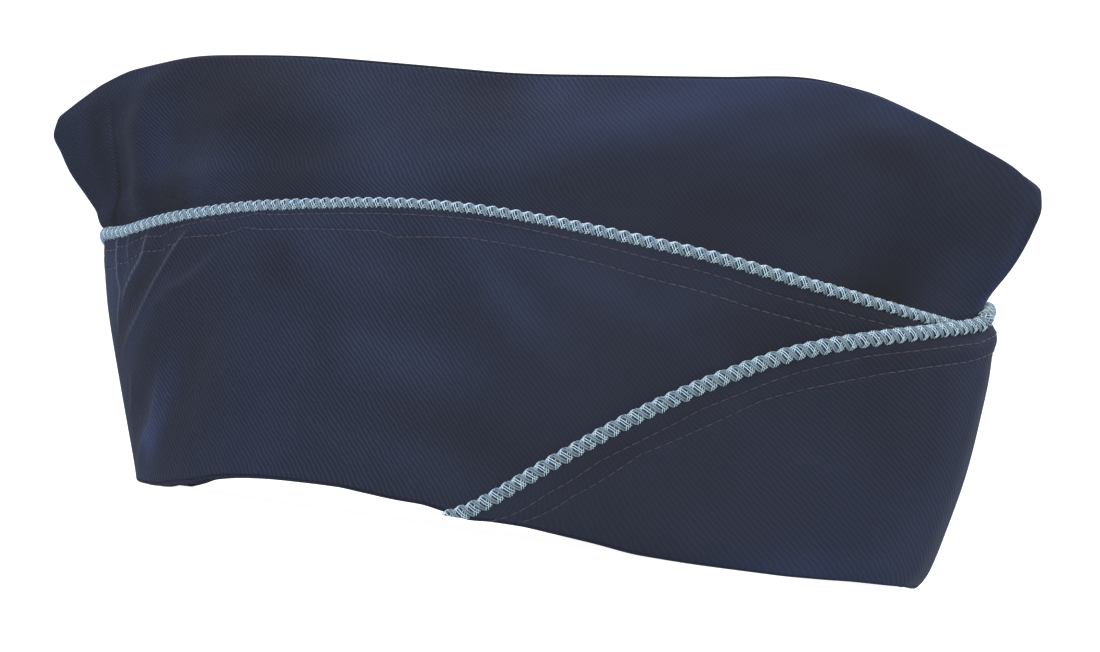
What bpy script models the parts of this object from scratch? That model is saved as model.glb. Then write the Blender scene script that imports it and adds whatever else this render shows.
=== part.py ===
# Garrison cap standing on its hem with its ridges up, in metres.
# X runs to the front of the cap, Y to the wearer's left and Z up.
# The origin lies under the middle of the cap's length, on the surface that the hem rests on.
import bpy
import bmesh
import math
import numpy as np

# Driving dimensions of the crown
HEM_LENGTH = 0.2110          # crown's outer face at the hem, back to front
HEM_WIDTH = 0.1520           # crown's inner face at the hem, side to side
HEM_AHEAD = 0.0160           # middle of the hem ahead of the middle of the ridges
RIDGE_LENGTH = 0.2990        # beak to beak
RIDGE_WIDTH = 0.0420         # between the inner faces of the two ridges
CAP_HEIGHT = 0.1213          # highest point of a ridge
HEM_ARCH = 0.0090            # deepest rise of the hem off the surface
VALLEY_DEPTH = 0.0280        # fold of the top piece below the ridges
FOLD_DEPTH = 0.0060          # unit for the soft folds in the cloth

# Driving dimensions of the turned-up curtain and its piping
CURTAIN_HEIGHT = 0.0785      # highest point of the piping's centre line
CROWN_CLOTH = 0.0018         # wall of a crown panel, measured across
TOP_CLOTH = 0.0022           # wall of the folded top piece, measured upright
CURTAIN_CLOTH = 0.0018       # wall of a curtain, two plies pressed together
PIPING = 0.0034              # diameter of the braided piping
SEAM_GAP = 0.0003            # clearance between neighbouring pieces

# How the cloth lies, as plain shares and powers
FULL_FIN_PINCH = 1.8         # pinch from which an end is a fin as round as its cloth
CURTAIN_PINCH = 0.1          # part of the crown's pinch that a curtain follows
CURTAIN_OPEN_LEVEL = 0.6     # level from which a curtain stands off by the piping's room
FOLD_REACH = 0.01            # share round over which a fold reads the direction of the cloth
FOLD_FADE = 4.0              # folds fade this many fold depths before the cap's middle plane
VALLEY_END_POWER = 0.8       # how late the valley of the top piece runs out at its tips
VALLEY_SIDE_POWER = 1.3      # how round the valley is from ridge to ridge

# Mesh density
ROUND_STEPS = 40             # round half of the cap
CURTAIN_LEVELS = 8           # rows up a curtain
TOP_ROWS = 11                # rows across the top piece
TOP_MARGIN = 3               # steps from a beak to the top piece's tip
PIPING_STEP = 0.0055         # length of one piece of a piping tube
FINE_STEPS = 400             # points that a piping's length is measured through
SMOOTH_ANGLE = 50            # degrees, sharper edges than this stay sharp

# Plain colours
CLOTH_COLOUR = (0.030, 0.035, 0.062)
CLOTH_ROUGHNESS = 0.85
PIPING_COLOUR = (0.165, 0.235, 0.310)
PIPING_ROUGHNESS = 0.70

# Room that the round piping needs between a curtain and what lies behind it
PIPING_ROOM = (PIPING - CURTAIN_CLOTH) / 2 + SEAM_GAP
PIPING_SEAT = PIPING / 2 + SEAM_GAP


def table(columns, rows):
    """Return the rows as one array for each named column."""
    return dict(zip(columns.split(), np.array(rows, dtype=float).T))


# Plan sections of the crown from the hem (level 0) to the ridge (level 1). Back, front and width
# are shares of the way from the hem's size to the ridge's. A pinch of 1 is an oval end, 2 a
# pointed one and more a thin fin.
SECTIONS = table("level back front width back_pinch front_pinch", [
    (0.00, 0.000, 0.000, 0.000, 1.00, 1.00),
    (0.15, 0.125, 0.145, 0.045, 1.02, 1.02),
    (0.30, 0.245, 0.280, 0.099, 1.05, 1.05),
    (0.43, 0.345, 0.350, 0.156, 1.20, 1.17),
    (0.55, 0.425, 0.400, 0.220, 1.50, 1.40),
    (0.64, 0.490, 0.410, 0.272, 2.00, 1.75),
    (0.67, 0.510, 0.400, 0.300, 2.20, 1.85),
    (0.72, 0.640, 0.534, 0.350, 2.45, 2.00),
    (0.80, 0.800, 0.775, 0.480, 2.55, 2.15),
    (0.85, 0.885, 0.882, 0.580, 2.45, 2.15),
    (0.90, 0.945, 0.952, 0.710, 2.30, 2.10),
    (0.95, 1.000, 1.000, 0.860, 2.10, 2.05),
    (1.00, 0.985, 0.968, 1.000, 2.00, 2.00),
])

# Height of each ridge as a share of the cap's height, from the back beak (-1) to the front (1)
RIDGE = table("along right left", [
    (-1.00, 0.770, 0.770), (-0.97, 0.793, 0.793), (-0.93, 0.823, 0.827), (-0.88, 0.857, 0.857),
    (-0.80, 0.889, 0.889), (-0.60, 0.929, 0.930), (-0.30, 0.948, 0.948), (0.00, 0.949, 0.948),
    (0.30, 0.970, 0.968), (0.45, 0.987, 0.979), (0.60, 1.000, 0.981), (0.70, 0.987, 0.967),
    (0.80, 0.949, 0.928), (0.90, 0.899, 0.884), (0.96, 0.869, 0.857), (1.00, 0.834, 0.834),
])

# Rise of the hem as a share of its arch, round each side from the back (0) to the front (1)
HEM_RISE = table("round right left", [
    (0.00, 0.00, 0.00), (0.03, 0.00, 0.00), (0.06, 0.00, 0.24), (0.10, 0.00, 0.42),
    (0.15, 0.00, 0.54), (0.20, 0.00, 0.60), (0.26, 0.00, 0.78), (0.31, 0.20, 0.92),
    (0.36, 0.52, 1.00), (0.46, 0.74, 0.86), (0.56, 0.60, 0.50), (0.66, 0.32, 0.16),
    (0.73, 0.10, 0.04), (0.79, 0.00, 0.00), (1.00, 0.00, 0.00),
])

# Height of the piping as a share of the curtain's height, round each side from back to front
EDGE = table("round right left", [
    (0.00, 0.760, 0.760), (0.10, 0.800, 0.800), (0.20, 0.816, 0.816), (0.30, 0.879, 0.880),
    (0.40, 0.943, 0.943), (0.55, 1.000, 1.000), (0.70, 0.955, 0.960), (0.80, 0.901, 0.930),
    (0.90, 0.856, 0.912), (1.00, 0.825, 0.870),
])

# The left curtain's flap on the right side: height of its piping, from the tail to the front (1)
FLAP = table("round height", [
    (0.592, 0.058), (0.60, 0.077), (0.65, 0.259), (0.70, 0.437), (0.75, 0.580),
    (0.80, 0.689), (0.85, 0.754), (0.90, 0.800), (0.95, 0.839), (1.00, 0.870),
])
FLAP_CLOTH_END = 0.613       # share round the right side where the flap's cloth ends
PIPING_START = 0.002         # share round where a piping starts beside the back seam

# How far the left curtain stands off the right one, as a share of the full lap. Round runs from
# the back along the left side to the front (1) and on along the right side.
LAP = table("round share", [
    (0.00, 0.00), (0.80, 0.00), (0.90, 0.12), (0.96, 0.60), (1.00, 1.00), (1.10, 1.00),
    (1.25, 0.80), (1.42, 0.80),
])
FULL_LAP = PIPING + SEAM_GAP

# Soft folds of the cloth on the right side (-1) and the left (1): middle, half sizes and slant as
# shares round and up the side, and depth in units of FOLD_DEPTH, outward positive
FOLDS = table("side round level along up slant depth", [
    (-1, 0.215, 0.80, 0.035, 0.16, 0.28, 0.70),
    (-1, 0.135, 0.80, 0.030, 0.14, 0.28, -0.30),
    (-1, 0.840, 0.74, 0.038, 0.08, 0.00, -0.75),
    (-1, 0.440, 0.84, 0.050, 0.13, 0.20, -0.45),
    (-1, 0.350, 0.80, 0.045, 0.12, 0.20, 0.35),
    (-1, 0.660, 0.80, 0.060, 0.09, 0.00, -0.40),
    (-1, 0.715, 0.93, 0.050, 0.06, 0.00, 0.30),
    (-1, 0.440, 0.33, 0.060, 0.13, 0.40, 0.30),
    (-1, 0.330, 0.27, 0.050, 0.12, 0.30, -0.25),
    (1, 0.230, 0.80, 0.040, 0.14, 0.20, 0.55),
    (1, 0.150, 0.80, 0.035, 0.13, 0.20, -0.25),
    (1, 0.830, 0.74, 0.040, 0.09, 0.00, -0.60),
    (1, 0.540, 0.84, 0.060, 0.11, -0.35, -0.40),
    (1, 0.420, 0.33, 0.070, 0.14, 0.25, 0.25),
])


def mix(start, end, share):
    return start + (end - start) * share


def ease(share):
    share = np.clip(share, 0, 1)
    return share * share * (3 - 2 * share)


def read(points, column, at):
    """Read a column, against the table's first one, as a smooth curve without overshoot."""
    x = next(iter(points.values()))
    y = points[column]
    rise = np.diff(y) / np.diff(x)
    slope = np.concatenate([rise[:1], np.zeros(len(x) - 2), rise[-1:]])
    same_way = rise[:-1] * rise[1:] > 0
    both = np.where(same_way, rise[:-1] + rise[1:], 1)
    slope[1:-1] = np.where(same_way, 2 * rise[:-1] * rise[1:] / both, 0)
    at = np.clip(at, x[0], x[-1])
    i = np.clip(np.searchsorted(x, at) - 1, 0, len(x) - 2)
    step = x[i + 1] - x[i]
    t = (at - x[i]) / step
    start = (1 + 2 * t) * (1 - t) ** 2 * y[i] + t * (1 - t) ** 2 * step * slope[i]
    return start + t * t * (3 - 2 * t) * y[i + 1] + t * t * (t - 1) * step * slope[i + 1]


def along_of(round_share):
    """Place along the cap, -1 at the back and 1 at the front, for a share round one side."""
    return -np.cos(np.pi * round_share)


def by_side(points, at, side):
    """Read the column of the side that a point is on: -1 right, 1 left."""
    return np.where(side < 0, read(points, "right", at), read(points, "left", at))


def hem_height(round_share, side):
    return HEM_ARCH * by_side(HEM_RISE, round_share, side)


def ridge_height(round_share, side):
    return CAP_HEIGHT * by_side(RIDGE, along_of(round_share), side)


def height_at(round_share, level, side):
    return mix(hem_height(round_share, side), ridge_height(round_share, side), level)


def level_at(round_share, height, side):
    hem = hem_height(round_share, side)
    return (height - hem) / (ridge_height(round_share, side) - hem)


def plan_point(round_share, level, outset, side_wall, beak, pinch_share):
    """Plan place of a cloth face: X and the distance from the cap's middle plane."""
    back = mix(HEM_LENGTH / 2 - HEM_AHEAD, RIDGE_LENGTH / 2, read(SECTIONS, "back", level))
    front = mix(HEM_LENGTH / 2 + HEM_AHEAD, RIDGE_LENGTH / 2, read(SECTIONS, "front", level))
    width = mix(HEM_WIDTH / 2, RIDGE_WIDTH / 2, read(SECTIONS, "width", level)) + side_wall
    along = along_of(round_share)
    half = (back + front) / 2 + outset
    pinch = mix(read(SECTIONS, "back_pinch", level), read(SECTIONS, "front_pinch", level),
                ease((along + 1) / 2))
    # A pinched end is a fin whose edge is as round as the cloth is thick
    fin = beak * np.clip((pinch - 1) / (FULL_FIN_PINCH - 1), 0, 1)
    from_end = np.minimum(half * (1 - np.abs(along)) / max(beak, SEAM_GAP), 1)
    lens = np.maximum(1 - along ** 2, 0) ** (mix(1, pinch, pinch_share) / 2)
    across = (width - fin) * lens + fin * np.sqrt(1 - (1 - from_end) ** 2)
    return (front - back) / 2 + half * along, across


def fold_at(round_share, level, side):
    """Outward travel of the cloth from the soft folds."""
    travel = 0 * (round_share + level)
    for k, fold_side in enumerate(FOLDS["side"]):
        fold = {name: values[k] for name, values in FOLDS.items()}
        rise = level - fold["level"]
        along = (round_share - fold["round"] - fold["slant"] * rise) / fold["along"]
        bump = fold["depth"] * np.exp(-along ** 2 - (rise / fold["up"]) ** 2)
        travel = travel + np.where(side == fold_side, bump, 0)
    return FOLD_DEPTH * travel


def cloth_face(round_share, level, side, outset=0.0, side_wall=0.0, beak=0.0, pinch_share=1.0):
    """Points of one face of a cloth wall on a side of the cap."""
    lay = (outset, side_wall, beak, pinch_share)
    x, across = plan_point(round_share, level, *lay)
    # Folds move the cloth square to its plan, which is read just beside the point
    middle = np.clip(round_share, 2 * FOLD_REACH, 1 - 2 * FOLD_REACH)
    x_before, across_before = plan_point(middle - FOLD_REACH, level, *lay)
    x_after, across_after = plan_point(middle + FOLD_REACH, level, *lay)
    run, spread = x_after - x_before, across_after - across_before
    travel = fold_at(round_share, level, side) / np.hypot(run, spread)
    # A fold never carries the cloth past the cap's middle plane
    fade = ease(across / (FOLD_FADE * FOLD_DEPTH))
    x = x - spread * travel * fade
    across = across + run * travel * fade
    return np.stack([x, side * across, height_at(round_share, level, side)], axis=-1)


def crown_faces(round_share, level, side):
    """Outer and inner face of a crown panel, with half a seam's gap to the other panel."""
    outer = cloth_face(round_share, level, side, side_wall=CROWN_CLOTH, beak=CROWN_CLOTH)
    inner = cloth_face(round_share, level, side, outset=-CROWN_CLOTH)
    for face in (outer, inner):
        face[..., 1] += side * SEAM_GAP / 2
    return outer, inner


class CurtainRun:
    """A curtain's columns: share round their side, side, lap and height of the piping's centre."""

    def __init__(self, path, left):
        """Path runs from the back (0) to the front (1), and a left curtain's on to its flap on
        the right side, where the back would be 2."""
        flap = path > 1
        self.side = np.where(flap | (not left), -1, 1)
        self.round = np.where(flap, 2 - path, path)
        self.lap = FULL_LAP * read(LAP, "share", path) * left
        edge = by_side(EDGE, self.round, self.side)
        self.height = CURTAIN_HEIGHT * np.where(flap, read(FLAP, "height", self.round), edge)
        self.seam = SEAM_GAP / 2 * (np.maximum(1 - path, 0) if left else 1)

    def face(self, level, depth):
        """Points at a level, with depth 0 the face towards the crown and 1 the outer one."""
        room = mix(SEAM_GAP, PIPING_ROOM, ease(level / CURTAIN_OPEN_LEVEL))
        outset = room + self.lap + depth * CURTAIN_CLOTH
        points = cloth_face(self.round, level, self.side, outset, CROWN_CLOTH + outset,
                            pinch_share=CURTAIN_PINCH)
        points[..., 1] += self.side * self.seam
        return points

    def piping(self):
        """Centre line of the piping."""
        return self.face(level_at(self.round, self.height, self.side), 0.5)

    def cloth_top(self):
        """Level of the cloth's upper edge, square below the piping where the line slopes."""
        line = self.piping()
        run = np.hypot(np.gradient(line[:, 0]), np.gradient(line[:, 1]))
        slope = np.gradient(line[:, 2]) / run
        height = self.height - PIPING_SEAT * np.sqrt(1 + slope ** 2)
        return level_at(self.round, height, self.side)


def rounds(start, end):
    """Shares round the cap at whole steps of the mesh, and at both ends."""
    steps = np.arange(math.ceil(start * ROUND_STEPS), math.floor(end * ROUND_STEPS) + 1)
    return np.unique(np.round(np.concatenate([[start], steps / ROUND_STEPS, [end]]), 6))


def plain_material(name, colour=CLOTH_COLOUR, roughness=CLOTH_ROUGHNESS):
    material = bpy.data.materials.new(name)
    material.use_nodes = True
    shader = material.node_tree.nodes["Principled BSDF"]
    shader.inputs["Base Color"].default_value = (*colour, 1.0)
    shader.inputs["Roughness"].default_value = roughness
    shader.inputs["Metallic"].default_value = 0.0
    return material


def place(name, data, material):
    data.materials.append(material)
    bpy.context.scene.collection.objects.link(bpy.data.objects.new(name, data))


def cloth_wall(name, outer, inner):
    """Closed wall between two faces, given as rows of points."""
    mesh = bmesh.new()
    rows, columns = outer.shape[:2]
    faces = []
    for face in (outer, inner):
        faces.append([[mesh.verts.new(point) for point in row] for row in face])
    for face in faces:
        for lower, upper in zip(face[:-1], face[1:]):
            for c in range(columns - 1):
                mesh.faces.new((lower[c], lower[c + 1], upper[c + 1], upper[c]))
    for r in (0, rows - 1):
        for c in range(columns - 1):
            mesh.faces.new((faces[0][r][c], faces[0][r][c + 1], faces[1][r][c + 1], faces[1][r][c]))
    for c in (0, columns - 1):
        for r in range(rows - 1):
            mesh.faces.new((faces[0][r][c], faces[0][r + 1][c], faces[1][r + 1][c], faces[1][r][c]))
    bmesh.ops.recalc_face_normals(mesh, faces=mesh.faces)
    data = bpy.data.meshes.new(name)
    mesh.to_mesh(data)
    mesh.free()
    data.shade_smooth()
    data.set_sharp_from_angle(angle=math.radians(SMOOTH_ANGLE))
    place(name, data, plain_material(name))


def crown_panel(name, side):
    cloth_wall(name, *crown_faces(rounds(0, 1)[None, :], SECTIONS["level"][:, None], side))


def crown_top(name):
    """The top piece, folded down between the ridges and meeting the panels along them."""
    round_share = rounds(0, 1)[TOP_MARGIN:-TOP_MARGIN]
    edges = []
    for side in (-1, 1):
        edge = crown_faces(round_share, np.ones_like(round_share), side)[1]
        edge[:, 1] -= side * SEAM_GAP
        edges.append(edge)
    lens = 1 - along_of(round_share) ** 2
    across = np.linspace(-1, 1, TOP_ROWS)[:, None]
    upper = mix(edges[0], edges[1], (across[..., None] + 1) / 2)
    upper[..., 2] -= VALLEY_DEPTH * lens ** VALLEY_END_POWER * (1 - np.abs(across) ** VALLEY_SIDE_POWER)
    lower = upper - np.array([0, 0, TOP_CLOTH])
    cloth_wall(name, upper, lower)


def curtain(name, run):
    levels = np.linspace(0, 1, CURTAIN_LEVELS)[:, None] * run.cloth_top()
    cloth_wall(name, run.face(levels, 1), run.face(levels, 0))


def piping(name, run):
    """Round braid along a curtain's edge, as a tube with closed ends."""
    line = run.piping()
    length = np.concatenate([[0], np.cumsum(np.linalg.norm(np.diff(line, axis=0), axis=1))])
    at = np.linspace(0, length[-1], round(length[-1] / PIPING_STEP))
    points = np.stack([np.interp(at, length, line[:, k]) for k in range(3)], axis=-1)
    curve = bpy.data.curves.new(name, "CURVE")
    curve.dimensions = "3D"
    curve.bevel_depth = PIPING / 2
    curve.bevel_resolution = 2
    curve.use_fill_caps = True
    spline = curve.splines.new("POLY")
    spline.points.add(len(points) - 1)
    for point, place_at in zip(spline.points, points):
        point.co = (*place_at, 1.0)
    place(name, curve, plain_material(name, PIPING_COLOUR, PIPING_ROUGHNESS))


for old in list(bpy.data.objects):
    bpy.data.objects.remove(old)

crown_panel("crown_right", -1)
crown_panel("crown_left", 1)
crown_top("crown_top")
curtain("curtain_right", CurtainRun(rounds(0, 1), left=False))
curtain("curtain_left", CurtainRun(rounds(0, 2 - FLAP_CLOTH_END), left=True))
piping("piping_right", CurtainRun(np.linspace(PIPING_START, 1, FINE_STEPS), left=False))
piping("piping_left", CurtainRun(np.linspace(PIPING_START, 2 - FLAP["round"][0], FINE_STEPS), left=True))
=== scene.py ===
import math
import bmesh
import bpy
import numpy as np
from mathutils import Matrix, Vector


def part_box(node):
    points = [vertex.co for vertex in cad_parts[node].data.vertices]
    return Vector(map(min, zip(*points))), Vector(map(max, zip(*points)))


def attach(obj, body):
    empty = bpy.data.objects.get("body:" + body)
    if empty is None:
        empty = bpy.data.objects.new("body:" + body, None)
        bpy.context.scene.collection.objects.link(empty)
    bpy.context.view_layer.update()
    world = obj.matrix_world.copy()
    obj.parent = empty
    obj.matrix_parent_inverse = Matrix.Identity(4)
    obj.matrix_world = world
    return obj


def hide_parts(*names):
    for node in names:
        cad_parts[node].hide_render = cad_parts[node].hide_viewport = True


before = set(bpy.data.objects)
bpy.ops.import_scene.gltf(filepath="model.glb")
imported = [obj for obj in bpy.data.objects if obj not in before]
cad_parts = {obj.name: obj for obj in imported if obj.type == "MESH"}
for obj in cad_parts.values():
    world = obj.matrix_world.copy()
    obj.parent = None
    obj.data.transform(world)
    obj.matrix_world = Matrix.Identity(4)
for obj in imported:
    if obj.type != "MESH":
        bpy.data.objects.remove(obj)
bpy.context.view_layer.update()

# A navy garrison cap with pale braided piping, standing on its hem.
# Lengths are in metres. X runs to the front, Y to the wearer's left, Z up.


cap = {
    "cloth": 0.0018,        # wall of a crown panel and of a curtain
    "topCloth": 0.0022,     # wall of the folded top piece
    "rimSteps": 5,          # points over the edge of a wall
    "piping": 0.0034,       # diameter of the braid's solid
    "gap": 0.0003,          # between neighbouring pieces
    "seam": 0.00006,        # groove where two panels are sewn together
    "onFloor": 0.00001,     # the hem's lowest points lie under this height
    "ridgeWidth": 0.0420,
    "hemArch": 0.0090,
    "valleyDepth": 0.0280,
    "foldDepth": 0.0060,
    "foldReach": 0.01,      # way round over which a fold takes its direction
    "foldFade": 4.0,        # a fold fades out where the cap is narrower than this many foldDepths
    "fullFinPinch": 1.8,    # pinch from which an end is as thin as its cloth
    "curtainPinch": 0.1,    # part of the crown's pinch that a curtain follows
    "curtainOpen": 0.6,     # level from which a curtain leaves room for its braid
}


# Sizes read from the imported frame
def readSizes():
    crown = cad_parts["crown_right"]
    points = np.array([v.co for v in crown.data.vertices])
    hem = points[points[:, 2] < cap["onFloor"]]
    crownLow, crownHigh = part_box("crown_right")
    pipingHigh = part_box("piping_right")[1]
    return {"ridgeLength": crownHigh.x - crownLow.x, "capHeight": crownHigh.z,
            "hemBack": -hem[:, 0].min(), "hemFront": hem[:, 0].max(), "hemSide": -crownLow.y,
            "pipingTop": pipingHigh.z}


size = readSizes()
hemSide = size["hemSide"] - cap["cloth"] - cap["gap"] / 2
pipingRoom = (cap["piping"] - cap["cloth"]) / 2 + cap["gap"]
curtainHeight = size["pipingTop"] - cap["piping"] / 2
print("sizes", {name: round(value, 4) for name, value in size.items()})


def table(columns, rows):
    return dict(zip(columns.split(), np.array(rows, dtype=float).T))


# Plan sections from the hem (0) to the ridge (1), as shares of the way from one to the other
sections = table("level back front width backPinch frontPinch", [
    (0.00, 0.000, -0.110, 0.000, 1.00, 1.00),
    (0.02, 0.016, -0.040, 0.006, 1.00, 1.00),
    (0.05, 0.041, 0.026, 0.014, 1.01, 1.01),
    (0.15, 0.125, 0.145, 0.045, 1.02, 1.02),
    (0.30, 0.245, 0.280, 0.099, 1.05, 1.05),
    (0.43, 0.345, 0.350, 0.156, 1.20, 1.17),
    (0.55, 0.425, 0.400, 0.220, 1.50, 1.40),
    (0.64, 0.490, 0.410, 0.272, 2.00, 1.75),
    (0.67, 0.540, 0.430, 0.300, 2.20, 1.85),
    (0.72, 0.640, 0.534, 0.350, 2.45, 2.00),
    (0.80, 0.800, 0.775, 0.480, 2.55, 2.15),
    (0.85, 0.885, 0.882, 0.580, 2.45, 2.15),
    (0.90, 0.945, 0.952, 0.710, 2.30, 2.10),
    (0.95, 1.000, 1.000, 0.860, 2.10, 2.05),
    (1.00, 0.985, 0.968, 1.000, 2.00, 2.00),
])
ridge = table("along right left", [
    (-1.00, 0.770, 0.770), (-0.97, 0.793, 0.793), (-0.93, 0.823, 0.827), (-0.88, 0.857, 0.857),
    (-0.80, 0.893, 0.893), (-0.60, 0.934, 0.935), (-0.30, 0.948, 0.948), (0.00, 0.949, 0.948),
    (0.30, 0.970, 0.968), (0.45, 0.984, 0.979), (0.60, 1.000, 0.981), (0.70, 0.987, 0.967),
    (0.80, 0.952, 0.928), (0.90, 0.902, 0.884), (0.96, 0.869, 0.857), (1.00, 0.834, 0.834),
])
hemRise = table("round right left", [
    (0.00, 0.00, 0.00), (0.02, 0.00, 0.12), (0.04, 0.00, 0.30), (0.07, 0.00, 0.56), (0.12, 0.00, 0.78),
    (0.20, 0.00, 0.86), (0.243, 0.00, 0.90), (0.269, 0.03, 0.92), (0.294, 0.15, 0.95), (0.321, 0.25, 0.98),
    (0.333, 0.32, 0.98), (0.355, 0.465, 1.00), (0.39, 0.61, 0.98), (0.433, 0.695, 0.92), (0.489, 0.73, 0.76),
    (0.507, 0.69, 0.70), (0.54, 0.61, 0.57), (0.56, 0.59, 0.50), (0.577, 0.50, 0.45), (0.602, 0.355, 0.36),
    (0.618, 0.385, 0.30), (0.64, 0.376, 0.22), (0.666, 0.30, 0.13), (0.698, 0.19, 0.06), (0.737, 0.04, 0.03),
    (0.79, 0.00, 0.02), (0.85, 0.00, 0.02), (0.89, 0.03, 0.04), (0.94, 0.08, 0.08), (1.00, 0.09, 0.09),
])
# The crown's ends are fuller than its curtains just above them
beakFill = table("level back front", [
    (0.00, 0.000, 0.000), (0.50, 0.000, 0.000), (0.58, 0.000, 0.070), (0.63, 0.005, 0.110),
    (0.66, 0.045, 0.120), (0.70, 0.060, 0.080), (0.75, 0.012, 0.045), (0.80, 0.000, 0.015),
    (0.86, 0.000, 0.000), (1.00, 0.000, 0.000),
])
edge = table("round right left", [
    (0.00, 0.760, 0.760), (0.10, 0.800, 0.800), (0.20, 0.816, 0.816), (0.30, 0.879, 0.880),
    (0.40, 0.943, 0.943), (0.55, 1.000, 1.000), (0.70, 0.955, 0.960), (0.80, 0.901, 0.930),
    (0.90, 0.856, 0.912), (1.00, 0.825, 0.870),
])
flap = table("round height", [
    (0.580, 0.024), (0.592, 0.055), (0.60, 0.077), (0.65, 0.259), (0.70, 0.437), (0.75, 0.580),
    (0.80, 0.689), (0.85, 0.754), (0.90, 0.800), (0.95, 0.839), (1.00, 0.870),
])
lap = table("round share", [
    (0.00, 0.00), (0.80, 0.00), (0.90, 0.26), (0.96, 0.78), (1.00, 1.14), (1.10, 1.00),
    (1.25, 0.80), (1.42, 0.80),
])
# Soft folds on the right side (-1) and the left (1), depth in units of foldDepth
folds = table("side round level along up slant depth", [
    (-1, 0.213, 0.80, 0.029, 0.17, 0.23, 0.71),
    (-1, 0.118, 0.83, 0.040, 0.13, 0.05, -0.38),
    (-1, 0.855, 0.77, 0.044, 0.09, -0.10, -0.80),
    (-1, 0.437, 0.82, 0.052, 0.15, 0.50, -0.50),
    (-1, 0.350, 0.84, 0.038, 0.15, 0.15, 0.34),
    (-1, 0.660, 0.78, 0.050, 0.10, 0.30, -0.30),
    (-1, 0.700, 0.90, 0.050, 0.09, 0.40, 0.30),
    (-1, 0.605, 0.83, 0.048, 0.12, 0.45, 0.25),
    (-1, 0.440, 0.33, 0.060, 0.13, 0.40, 0.18),
    (-1, 0.310, 0.24, 0.045, 0.13, 0.20, -0.42),
    (1, 0.050, 0.24, 0.035, 0.16, 0.00, 0.30),
    (1, 0.230, 0.80, 0.040, 0.14, 0.20, 0.55),
    (1, 0.150, 0.80, 0.035, 0.13, 0.20, -0.25),
    (1, 0.830, 0.74, 0.040, 0.09, 0.00, -0.60),
    (1, 0.540, 0.84, 0.060, 0.11, -0.35, -0.40),
    (1, 0.420, 0.33, 0.070, 0.14, 0.25, 0.25),
])

# Painted light and shade of the soft folds, lighter or darker than the plain cloth, on the crown (0),
# curtain (1) and flap (2)
paintedFoldShading = table("layer round level along up slant tone", [
    (0, 0.996, 0.71, 0.025, 0.20, -0.21, 0.70), (0, 0.363, 0.83, 0.074, 0.23, -0.24, -0.60),
    (0, 0.657, 0.97, 0.065, 0.32, 0.64, 0.63), (0, 0.897, 0.76, 0.130, 0.08, -0.92, 0.24),
    (0, 0.328, 0.70, 0.055, 0.17, 0.43, 0.50), (0, 0.831, 0.56, 0.039, 0.27, 0.11, -0.57),
    (0, 0.685, 0.67, 0.080, 0.21, 0.08, -0.29), (0, 0.238, 0.77, 0.024, 0.09, 0.14, 0.57),
    (0, 0.754, 0.92, 0.053, 0.06, -0.04, -0.60), (0, 0.142, 0.86, 0.022, 0.12, 0.28, -0.33),
    (0, 0.742, 0.92, 0.039, 0.09, 0.45, 0.67), (0, 0.549, 0.97, 0.020, 0.06, -0.13, 0.70),
    (0, 0.548, 0.88, 0.049, 0.20, -0.15, -0.44), (0, 0.253, 0.66, 0.054, 0.07, -0.28, -0.58),
    (0, 0.485, 0.74, 0.030, 0.19, -0.30, 0.28), (0, 0.488, 0.74, 0.038, 0.06, -0.08, -0.27),
    (0, 0.216, 0.82, 0.028, 0.10, -0.01, -0.22), (0, 0.573, 0.70, 0.017, 0.11, -0.11, 0.18),
    (1, 0.585, 0.49, 0.021, 0.11, -0.33, 0.45), (1, 0.508, 0.19, 0.069, 0.13, -0.48, 0.55),
    (1, 0.269, 0.17, 0.019, 0.13, 0.22, 0.58), (1, 0.617, 0.55, 0.033, 0.16, -0.85, 0.20),
    (1, 0.395, 0.61, 0.070, 0.13, -0.55, 0.42), (1, 0.354, 0.12, 0.092, 0.32, -0.16, -0.43),
    (1, 0.949, 0.69, 0.115, 0.32, 0.78, -0.28), (1, 0.530, 0.18, 0.080, 0.08, -0.55, -0.58),
    (1, 0.169, 0.48, 0.068, 0.11, 0.01, 0.63), (1, 0.384, 0.06, 0.066, 0.23, 0.06, 0.67),
    (1, 0.461, 0.33, 0.014, 0.10, 0.00, -0.29), (1, 0.524, 0.32, 0.056, 0.06, -0.36, 0.38),
    (1, 0.414, 0.51, 0.022, 0.08, -0.10, -0.35), (1, 0.252, 0.11, 0.015, 0.06, 0.25, 0.69),
    (1, 0.269, 0.42, 0.021, 0.17, 0.44, 0.54), (1, 0.262, 0.44, 0.031, 0.14, 0.61, -0.60),
    (1, 0.714, 0.51, 0.023, 0.06, 0.25, 0.24), (1, 0.244, 0.10, 0.015, 0.03, 0.04, 0.59),
    (1, 0.519, 0.59, 0.027, 0.05, -0.00, -0.27), (1, 0.513, 0.60, 0.067, 0.04, -0.03, 0.28),
    (1, 0.468, 0.57, 0.015, 0.07, -0.11, -0.13),
    (2, 0.858, -0.01, 0.073, 0.08, -0.05, 0.70), (2, 1.024, -0.04, 0.108, 0.32, -0.02, 0.39),
    (2, 0.695, 0.23, 0.056, 0.24, -0.14, -0.30), (2, 0.974, 0.66, 0.024, 0.19, 0.68, -0.29),
    (2, 0.996, 0.63, 0.034, 0.14, 0.14, 0.26), (2, 0.842, 0.25, 0.041, 0.05, -0.43, 0.06),
    (2, 0.901, 0.37, 0.073, 0.08, -0.25, -0.09), (2, 0.858, 0.07, 0.056, 0.09, 0.91, -0.12),
    (2, 0.703, 0.25, 0.034, 0.29, -0.15, 0.22), (2, 0.709, 0.23, 0.012, 0.19, 0.37, -0.13),
    (2, 0.649, 0.08, 0.042, 0.31, 0.38, 0.10), (2, 0.866, -0.01, 0.033, 0.23, -0.02, 0.16),
])


def mix(start, end, share):
    return start + (end - start) * share


def ease(share):
    share = np.clip(share, 0, 1)
    return share * share * (3 - 2 * share)


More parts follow.
